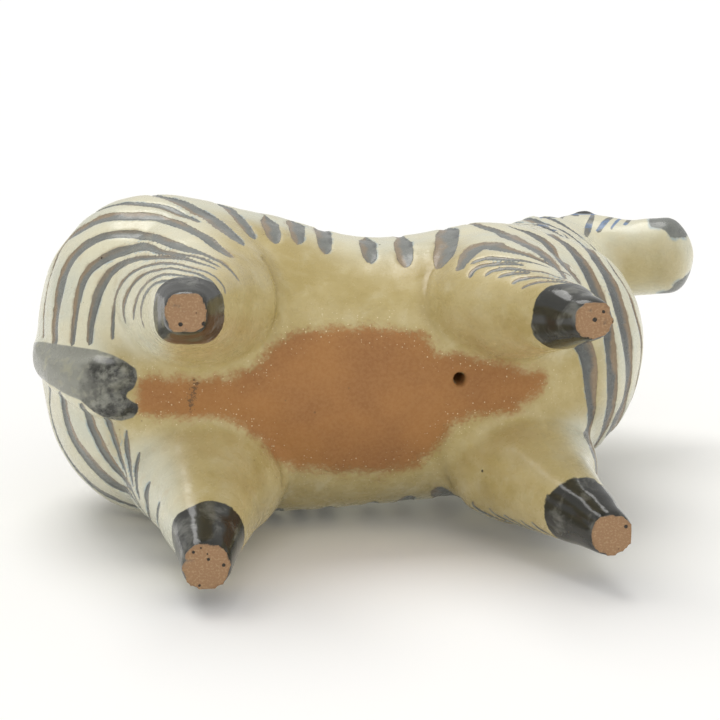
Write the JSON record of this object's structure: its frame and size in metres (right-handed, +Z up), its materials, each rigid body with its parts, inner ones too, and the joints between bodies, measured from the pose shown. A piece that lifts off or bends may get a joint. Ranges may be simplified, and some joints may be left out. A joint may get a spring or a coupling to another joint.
{
  "type": "ceramic zebra figurine",
  "caption": "Stout standing zebra figurine in glazed, hand-built ceramic with a short crest, upright ears, a tail held against the rump and a small firing vent under the belly",
  "frame": {"origin": "on the ground under the middle of the figurine's box", "axes": "+X towards the head, +Y to the zebra's own left side, +Z up"},
  "size_m": [0.2438, 0.1052, 0.2191],
  "materials": {
    "glaze": "glossy cream glaze with grey stripes, black hooves and bare terracotta under the belly"
  },
  "bodies": {
    "root": {"zebra": "glaze"}
  },
  "joints": []
}
